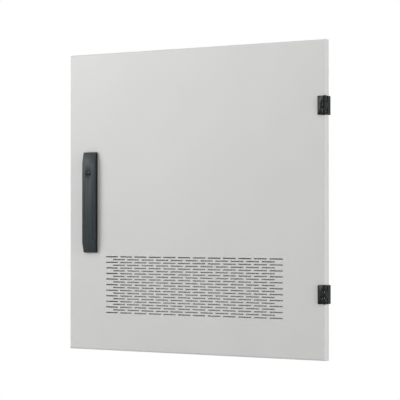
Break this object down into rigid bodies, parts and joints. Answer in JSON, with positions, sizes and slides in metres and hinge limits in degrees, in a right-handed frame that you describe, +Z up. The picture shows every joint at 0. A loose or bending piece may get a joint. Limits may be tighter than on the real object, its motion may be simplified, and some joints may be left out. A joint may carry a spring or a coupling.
{
  "type": "vented rack door",
  "caption": "Light grey folded sheet steel rack door with a slotted vent field, a black swing lever handle working two lock rods, and two black corner hinges.",
  "frame": {"origin": "centre of the rectangle of the four hinge screw holes, on the back faces of the frame leaves, which is the cabinet's front plane", "axes": "+Z up, -Y out of the front of the door, +Y into the cabinet, +X towards the hinge edge"},
  "size_m": [0.5998, 0.032, 0.598],
  "materials": {
    "coated_sheet": "light grey fine-textured powder coat on sheet steel",
    "coated_hood": "light grey powder coat on thin sheet steel",
    "pu_foam": "foamed-in-place black polyurethane",
    "dark_nylon": "black glass-filled nylon, fine spark texture",
    "anthracite_nylon": "anthracite glass-filled nylon, fine spark texture",
    "black_zinc_insert": "black passivated die-cast zinc",
    "black_coated_zinc": "black powder-coated die-cast zinc",
    "die_cast_zinc": "bare die-cast zinc",
    "sintered_steel": "sintered steel, lightly oiled",
    "zinc_plated_steel": "bright zinc-plated steel",
    "stainless_pin": "ground stainless steel",
    "natural_nylon": "natural nylon",
    "brass": "yellow chromated steel stud"
  },
  "bodies": {
    "frame_leaves": {"hinge_frame_leaf_upper": "black_coated_zinc", "hinge_frame_leaf_lower": "black_coated_zinc", "hinge_pin_upper": "stainless_pin", "hinge_pin_lower": "stainless_pin"},
    "door": {"door_panel": "coated_sheet", "door_gasket": "pu_foam", "vent_hood": "coated_hood", "weld_studs": "zinc_plated_steel", "stud_washers": "zinc_plated_steel", "stud_nuts": "zinc_plated_steel", "hinge_door_leaf_upper": "black_coated_zinc", "hinge_door_leaf_lower": "black_coated_zinc", "hinge_plate_upper": "zinc_plated_steel", "hinge_plate_lower": "zinc_plated_steel", "hinge_nuts": "zinc_plated_steel", "handle_base": "dark_nylon", "handle_screws": "zinc_plated_steel", "handle_washer": "zinc_plated_steel", "lock_case": "die_cast_zinc", "lock_cover": "die_cast_zinc", "cover_screws": "zinc_plated_steel", "upper_rod_guide": "natural_nylon", "lower_rod_guide": "natural_nylon", "earth_stud": "brass", "earth_washer": "zinc_plated_steel", "earth_nut": "zinc_plated_steel"},
    "swivel": {"swivel_head": "anthracite_nylon", "lever_pin": "stainless_pin", "pinion": "sintered_steel", "shaft_washer": "zinc_plated_steel", "shaft_screw": "zinc_plated_steel"},
    "lever": {"lever": "anthracite_nylon"},
    "lock": {"lock_insert": "black_zinc_insert", "lock_cam": "zinc_plated_steel"},
    "upper_rod": {"upper_rod": "zinc_plated_steel", "upper_rod_glide": "natural_nylon"},
    "lower_rod": {"lower_rod": "zinc_plated_steel", "lower_rod_glide": "natural_nylon"}
  },
  "joints": [
    {"name": "door_swing", "type": "hinge", "parent": "frame_leaves", "child": "door", "pos_m": [0.00755, -0.018, 0], "axis": [0, 0, 1], "range_deg": [0, 120]},
    {"name": "lever_turn", "type": "hinge", "parent": "door", "child": "swivel", "pos_m": [-0.53275, -0.018, -0.087], "axis": [0, 1, 0], "range_deg": [0, 90]},
    {"name": "lever_lift", "type": "hinge", "parent": "swivel", "child": "lever", "pos_m": [-0.53275, -0.0276, -0.076], "axis": [1, 0, 0], "range_deg": [0, 30]},
    {"name": "lock_turn", "type": "hinge", "parent": "lever", "child": "lock", "pos_m": [-0.53275, -0.0276, 0.055], "axis": [0, 1, 0], "range_deg": [0, 90]},
    {"name": "upper_rod_slide", "type": "slide", "parent": "door", "child": "upper_rod", "axis": [0, 0, -1], "range_m": [0, 0.01884]},
    {"name": "lower_rod_slide", "type": "slide", "parent": "door", "child": "lower_rod", "axis": [0, 0, 1], "range_m": [0, 0.0189]}
  ],
  "couplings": [
    {"joint": "lever_turn", "follows": "upper_rod_slide", "rad_per_m": 83.333},
    {"joint": "lower_rod_slide", "follows": "upper_rod_slide", "ratio": 1}
  ]
}
